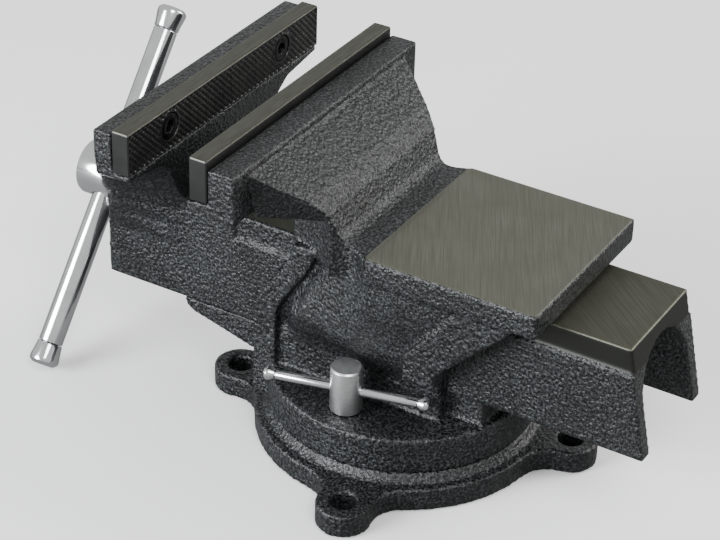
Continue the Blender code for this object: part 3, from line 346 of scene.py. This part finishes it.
def makeCastingMaterial(name, bareBoxes, turn, tones, paintedShadeBox=None):
    # painted casting with ground bare zones, each a box in the object's own space; bare metal inside the
    # optional shade box gets a darker colour as painted shade
    look = castingLook
    material, tree, shader = newMaterial(name)
    hammer = placeGroup(tree, hammerGroup, -1100, 300)
    marks = placeGroup(tree, marksGroup, -1100, -100, Turn=turn)
    mask = None
    for row, (low, high) in enumerate(bareBoxes):
        zone = placeGroup(
            tree, boxMaskGroup, -1100, -400 - 200 * row, Low=low, High=high, Border=look["border"],
        )
        inside = zone.outputs["Mask"]
        mask = inside if mask is None else mathNode(tree, "MAXIMUM", -800, -400 - 200 * row, mask, inside)
    if mask is None:
        mask = 0.0
    paintTone = mathNode(tree, "MULTIPLY", -800, 450, hammer.outputs["Sparkle"], hammer.outputs["Drift"])
    paint = mixColours(tree, -500, 400, mathNode(tree, "MULTIPLY", -650, 520, paintTone, 1.3, clamp=True),
                       look["paintDark"], look["paintLight"])
    bareTone = mathNode(tree, "MULTIPLY", -800, 0, marks.outputs["Streak"], marks.outputs["Stain"])
    bare = mixColours(tree, -500, 0, bareTone, *tones)
    # painted shade: bare metal inside this box, the slide's sides, is darkened
    if paintedShadeBox:
        paintedShadeZone = placeGroup(
            tree, boxMaskGroup, -1100, -1000, Low=paintedShadeBox[0], High=paintedShadeBox[1], Border=look["border"],
        )
        bare = mixColours(tree, -350, 0, paintedShadeZone.outputs["Mask"], bare, look["bareSidePaintedShade"])
    colour = mixColours(tree, -200, 300, mask, paint, bare)
    roughness = mixValues(tree, -200, 50, mask, look["paintRoughness"], look["bareRoughness"])
    metallic = mixValues(tree, -200, -100, mask, 0.0, 0.85)
    paintBump = addNode(tree, "ShaderNodeBump", -200, -350)
    paintBump.inputs["Distance"].default_value = 0.0009
    bareBump = addNode(tree, "ShaderNodeBump", -200, -550)
    bareBump.inputs["Distance"].default_value = 0.00006
    joinNodes(
        tree,
        (hammer.outputs["Height"], paintBump.inputs["Height"]),
        (marks.outputs["Height"], bareBump.inputs["Height"]),
        (mathNode(tree, "SUBTRACT", -400, -350, 0.75, mask, clamp=True), paintBump.inputs["Strength"]),
        (paintBump.outputs["Normal"], bareBump.inputs["Normal"]),
        (bareBump.outputs["Normal"], shader.inputs["Normal"]),
        (colour, shader.inputs["Base Color"]),
        (roughness, shader.inputs["Roughness"]),
        (metallic, shader.inputs["Metallic"]),
    )
    shader.inputs["Specular IOR Level"].default_value = 0.42
    return material


def makeMetalMaterial(name, dark, light, roughness, spread, turn, stretch, bump, metallic=1.0):
    material, tree, shader = newMaterial(name)
    marks = placeGroup(tree, marksGroup, -700, 0, Turn=turn, Stretch=stretch)
    colour = mixColours(tree, -350, 250, marks.outputs["Streak"], dark, light)
    rough = mixValues(tree, -350, 0, marks.outputs["Stain"], roughness - spread, roughness + spread)
    lift = addNode(tree, "ShaderNodeBump", -350, -250)
    lift.inputs["Distance"].default_value = bump
    lift.inputs["Strength"].default_value = 0.6
    joinNodes(
        tree,
        (marks.outputs["Height"], lift.inputs["Height"]),
        (lift.outputs["Normal"], shader.inputs["Normal"]),
        (colour, shader.inputs["Base Color"]),
        (rough, shader.inputs["Roughness"]),
    )
    shader.inputs["Metallic"].default_value = metallic
    return material


anvilTop = 112.7 * mm
slideTop = 99.1 * mm
anvilZone = ((-60 * mm, 3.6 * mm, anvilTop - 0.45 * mm), (60 * mm, 90 * mm, anvilTop + 5 * mm))
slideZone = ((-40 * mm, -30 * mm, slideTop - 11.4 * mm), (40 * mm, 140 * mm, slideTop + 2 * mm))
frontZone = ((-26 * mm, -73 * mm, slideTop - 0.5 * mm), (26 * mm, 0, slideTop + 2 * mm))
bodyPaint = makeCastingMaterial("bodyPaint", [anvilZone], (0, 0, 0.5), castingLook["anvilTones"])
# painted shade zone: the slide's bare sides below its top edge, darkened in jawPaint
slideSideShadeZone = ((-40 * mm, -73 * mm, slideTop - 20 * mm), (40 * mm, 140 * mm, slideTop - 0.7 * mm))
jawPaint = makeCastingMaterial(
    "jawPaint", [slideZone, frontZone], (0.5, 0, 0.9), castingLook["slideTones"], slideSideShadeZone)
basePaint = makeCastingMaterial("basePaint", [], (0, 0, 0), castingLook["slideTones"])
chrome = makeMetalMaterial(
    "chrome", (0.70, 0.71, 0.72, 1), (0.82, 0.83, 0.84, 1), 0.13, 0.03, (0, 0, 0), (90, 90, 90), 0.00001)
zinc = makeMetalMaterial(
    "satinZinc", (0.60, 0.61, 0.61, 1), (0.74, 0.75, 0.75, 1), 0.36, 0.05, (0, 0, 0), (300, 300, 2600),
    0.00002)
blackOxide = makeMetalMaterial(
    "blackOxide", (0.018, 0.018, 0.020, 1), (0.045, 0.045, 0.048, 1), 0.38, 0.06, (0, 0, 0),
    (500, 500, 500), 0.00003)
turnedSteel = makeMetalMaterial(
    "turnedSteel", (0.42, 0.42, 0.41, 1), (0.58, 0.58, 0.57, 1), 0.3, 0.05, (0, 0, 0), (200, 2600, 200),
    0.00002)
nutIron = makeMetalMaterial(
    "nutIron", (0.10, 0.10, 0.10, 1), (0.2, 0.2, 0.19, 1), 0.5, 0.08, (0, 0, 0), (400, 400, 400), 0.00005)
print("materials ready")


# the three castings

castings = {"voxel": 0.85 * mm, "rounds": 3, "mostTriangles": 190000}

bodyCasting = copyNode("static_body", "viseBody")
softenCasting(bodyCasting, castings["voxel"], castings["rounds"], castings["mostTriangles"])
settle(bodyCasting, "head", bodyPaint, ["static_body"])

jawCasting = copyNode("moving_jaw", "movingJawAndSlide")
softenCasting(jawCasting, castings["voxel"], castings["rounds"], castings["mostTriangles"])
settle(jawCasting, "jaw", jawPaint, ["moving_jaw"])

baseCasting = copyNode("swivel_base", "swivelBase")
softenCasting(baseCasting, castings["voxel"], castings["rounds"], castings["mostTriangles"])
settle(baseCasting, "base", basePaint, ["swivel_base"])
print("castings ready")


# the gripping plates, with a diamond pattern cut in their faces

plateLook = {
    "voxel": 0.5 * mm,
    "pitch": 2.3 * mm,
    "depth": 0.55 * mm,
    "margin": 1.0 * mm,
    "screwX": 44.2 * mm,
    "screwZ": 144.4 * mm,
    "screwClear": 7.4 * mm,
}


def makePlateMaterial(name, topZ):
    material, tree, shader = newMaterial(name)
    marks = placeGroup(tree, marksGroup, -900, 0, Turn=(0, 0, 0), Stretch=(120, 1400, 1400))
    zone = placeGroup(
        tree, boxMaskGroup, -900, -400, Low=(-1, -1, topZ - 0.6 * mm), High=(1, 1, topZ + 1 * mm),
    )
    dark = mixColours(
        tree, -500, 300, marks.outputs["Stain"], (0.015, 0.0155, 0.016, 1), (0.07, 0.07, 0.068, 1),
    )
    light = mixColours(
        tree, -500, 50, marks.outputs["Streak"], (0.07, 0.07, 0.056, 1), (0.1, 0.101, 0.085, 1),
    )
    lift = addNode(tree, "ShaderNodeBump", -350, -400)
    lift.inputs["Distance"].default_value = 0.00005
    joinNodes(
        tree,
        (mixColours(tree, -200, 200, zone.outputs["Mask"], dark, light), shader.inputs["Base Color"]),
        (mixValues(tree, -200, 0, zone.outputs["Mask"], 0.4, 0.42), shader.inputs["Roughness"]),
        (marks.outputs["Height"], lift.inputs["Height"]),
        (lift.outputs["Normal"], shader.inputs["Normal"]),
    )
    shader.inputs["Metallic"].default_value = 0.85
    return material


def makePlate(nodeName, pieceName, body, gripSide, screws):
    look = plateLook
    plate = copyNode(nodeName, pieceName)
    low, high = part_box(nodeName)
    faceY = high.y if gripSide > 0 else low.y
    applyModifier(plate, "REMESH", mode="VOXEL", voxel_size=look["voxel"], use_smooth_shade=True)
    for vertex in plate.data.vertices:
        x, y, z = vertex.co
        if abs(y - faceY) > 0.12 * mm:
            continue
        if not (low.x + look["margin"] < x < high.x - look["margin"]):
            continue
        if not (low.z + look["margin"] < z < high.z - look["margin"]):
            continue
        if math.hypot(abs(x) - look["screwX"], z - look["screwZ"]) < look["screwClear"]:
            continue
        first = abs(((x + z) / math.sqrt(2) / look["pitch"]) % 1 - 0.5) * 2
        second = abs(((x - z) / math.sqrt(2) / look["pitch"]) % 1 - 0.5) * 2
        groove = max(0.0, max(first, second) - 0.45) / 0.55
        vertex.co.y = y - gripSide * look["depth"] * groove
    makeActive(plate)
    bpy.ops.object.shade_smooth_by_angle(angle=math.radians(32))
    settle(plate, body, makePlateMaterial(pieceName + "Steel", high.z), [nodeName])
    for screwNode in screws:
        screw = copyNode(screwNode, screwNode + "_socketScrew")
        roundEdges(screw, 0.35 * mm, 2, 40)
        settle(screw, body, blackOxide, [screwNode])


makePlate(
    "moving_jaw_plate", "movingPlate", "jaw", 1, ["moving_plate_screw_left", "moving_plate_screw_right"],
)
makePlate(
    "fixed_jaw_plate", "fixedPlate", "head", -1, ["fixed_plate_screw_left", "fixed_plate_screw_right"],
)
print("plates ready")


# the lead screw: its thread, and the turned head that the handle passes through

threadLook = {
    "pitch": 5 * mm, "outer": 9 * mm, "root": 7.2 * mm, "startY": -114 * mm, "endY": 113.5 * mm,
    "steps": 24,
}


def makeThread():
    look = threadLook
    low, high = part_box("lead_screw")
    centreZ = (low.z + high.z) / 2
    pitch = look["pitch"]
    turns = int((look["endY"] - look["startY"]) / pitch)
    bm = bmesh.new()
    profile = (
        (look["root"] - 0.3 * mm, 0.12), (look["outer"], 0.32), (look["outer"], 0.62),
        (look["root"] - 0.3 * mm, 0.82),
    )
    ring = [bm.verts.new((radius, 0, share * pitch)) for radius, share in profile]
    for index in range(4):
        bm.edges.new((ring[index], ring[(index + 1) % 4]))
    mesh = bpy.data.meshes.new("screwThread")
    bm.to_mesh(mesh)
    bm.free()
    thread = bpy.data.objects.new("screwThread", mesh)
    bpy.context.scene.collection.objects.link(thread)
    applyModifier(
        thread, "SCREW", axis="Z", steps=look["steps"], render_steps=look["steps"], angle=math.tau,
        screw_offset=pitch, iterations=turns, use_merge_vertices=False, use_smooth_shade=True,
    )
    makeActive(thread)
    bpy.ops.object.mode_set(mode="EDIT")
    bpy.ops.mesh.select_all(action="SELECT")
    bpy.ops.mesh.remove_doubles(threshold=0.00001)
    bpy.ops.mesh.select_all(action="DESELECT")
    bpy.ops.mesh.select_non_manifold()
    bpy.ops.mesh.edge_face_add()
    bpy.ops.mesh.select_all(action="SELECT")
    bpy.ops.mesh.normals_make_consistent(inside=False)
    bpy.ops.object.mode_set(mode="OBJECT")
    thread.rotation_euler = (-math.pi / 2, 0, 0)
    thread.location = (0, look["startY"], centreZ)
    applyPlace(thread)
    makeActive(thread)
    bpy.ops.object.shade_smooth_by_angle(angle=math.radians(30))
    return thread


def cutAt(piece, y, keepBelow):
    makeActive(piece)
    bpy.ops.object.mode_set(mode="EDIT")
    bpy.ops.mesh.select_all(action="SELECT")
    bpy.ops.mesh.bisect(plane_co=(0, y, 0), plane_no=(0, 1, 0), use_fill=True,
                        clear_outer=keepBelow, clear_inner=not keepBelow)
    bpy.ops.object.mode_set(mode="OBJECT")


def makeLeadScrew():
    look = threadLook
    low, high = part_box("lead_screw")
    centreZ = (low.z + high.z) / 2
    head = copyNode("lead_screw", "leadScrew")
    cutAt(head, look["startY"], True)
    roundEdges(head, 0.8 * mm, 3, 50)
    length = high.y - look["startY"] + 1 * mm
    bpy.ops.mesh.primitive_cylinder_add(
        vertices=48, radius=look["root"], depth=length, rotation=(math.pi / 2, 0, 0),
        location=(0, high.y - length / 2, centreZ),
    )
    core = bpy.context.active_object
    applyPlace(core)
    roundEdges(core, 1.2 * mm, 2, 50)
    thread = makeThread()
    deselectAll()
    for piece in (core, thread, head):
        piece.select_set(True)
    bpy.context.view_layer.objects.active = head
    bpy.ops.object.join()
    return head


leadScrew = makeLeadScrew()
settle(leadScrew, "screw", chrome, ["lead_screw"])
for nodeName, bevelWidth in (("thrust_washer", 0.4), ("retaining_collar", 0.6), ("collar_pin", 0.3)):
    ringPiece = copyNode(nodeName, nodeName + "_turned")
    roundEdges(ringPiece, bevelWidth * mm, 2, 45)
    settle(ringPiece, "screw", turnedSteel, [nodeName])
print("lead screw ready")


# the handle and the lock rods: round bars with capped ends

def roundPieces(names, body, material, width):
    for nodeName in names:
        piece = copyNode(nodeName, nodeName + "_round")
        roundEdges(piece, width, 3, 40)
        settle(piece, body, material, [nodeName])


roundPieces(["handle_bar", "handle_cap_upper", "handle_cap_lower"], "handle", chrome, 0.5 * mm)
for side in ("right", "left"):
    roundPieces(["lock_bolt_" + side], "lock_bolt_" + side, zinc, 0.4 * mm)
    rodNodes = ["lock_rod_" + side, f"lock_knob_{side}_front", f"lock_knob_{side}_rear"]
    roundPieces(rodNodes, "lock_rod_" + side, chrome, 0.25 * mm)
print("handle and lock bolts ready")


# pieces inside the housing keep their frame shapes

for nodeName, material in (
    ("lead_nut", nutIron), ("nut_bolt", blackOxide), ("t_nut_left", blackOxide),
    ("t_nut_right", blackOxide),
    ("pivot_pin", turnedSteel),
):
    node = frame["nodes"][nodeName]
    node.data.materials.clear()
    node.data.materials.append(material)


# floor, light and camera

def makeFloor():
    bpy.ops.mesh.primitive_plane_add(size=8, location=(0, 0, -0.0008))
    floor = bpy.context.active_object
    floor.name = "floor"
    material, tree, shader = newMaterial("paleFloor")
    path = addNode(tree, "ShaderNodeLightPath", -600, 200)
    joinNodes(tree, (
        mixColours(tree, -300, 200, path.outputs["Is Camera Ray"], (0.2, 0.2, 0.2, 1), (1, 1, 1, 1)),
        shader.inputs["Base Color"],
    ))
    shader.inputs["Roughness"].default_value = 0.8
    shader.inputs["Specular IOR Level"].default_value = 0.2
    floor.data.materials.append(material)


lightLook = [
    # name, place, size, power, colour
    ("keyLight", (0.9, 0.9, 1.5), 0.9, 21, (1.0, 1.0, 1.0)),
    ("fillLight", (1.5, -0.9, 0.6), 1.2, 72, (0.95, 0.98, 1.0)),
    ("rimLight", (-1.1, 1.1, 0.9), 1.0, 24, (1.0, 0.99, 0.97)),
]


def makeLights():
    for name, place, size, power, colour in lightLook:
        bpy.ops.object.light_add(type="AREA", location=place)
        light = bpy.context.active_object
        light.name = name
        light.data.shape = "DISK"
        light.data.size = size
        light.data.energy = power
        light.data.color = colour
        towards = Vector((0, 0, 0.06)) - Vector(place)
        light.rotation_euler = towards.to_track_quat("-Z", "Y").to_euler()
    world = bpy.data.worlds.new("studio")
    bpy.context.scene.world = world
    world.use_nodes = True
    world.node_tree.nodes["Background"].inputs["Color"].default_value = (1, 1, 1, 1)
    world.node_tree.nodes["Background"].inputs["Strength"].default_value = 0.72


cameraLook = {"azimuth": 120.22, "elevation": 32.51, "roll": 1.66, "distance": 1.017, "lens": 114.0,
              "target": (2.5 * mm, -23.1 * mm, 74.2 * mm)}


def makeCamera():
    look = cameraLook
    azimuth = math.radians(look["azimuth"])
    elevation = math.radians(look["elevation"])
    roll = math.radians(look["roll"])
    forward = Vector((
        -math.sin(azimuth) * math.cos(elevation), math.cos(azimuth) * math.cos(elevation),
        -math.sin(elevation),
    ))
    right = Vector((math.cos(azimuth), math.sin(azimuth), 0))
    up = right.cross(forward)
    turnedRight = math.cos(roll) * right + math.sin(roll) * up
    turnedUp = -math.sin(roll) * right + math.cos(roll) * up
    place = Matrix((turnedRight, turnedUp, -forward)).transposed().to_4x4()
    place.translation = Vector(look["target"]) - forward * look["distance"]
    bpy.ops.object.camera_add()
    camera = bpy.context.active_object
    camera.matrix_world = place
    camera.data.lens = look["lens"]
    camera.data.sensor_width = 36
    bpy.context.scene.camera = camera


makeFloor()
makeLights()
makeCamera()
print("stage ready")
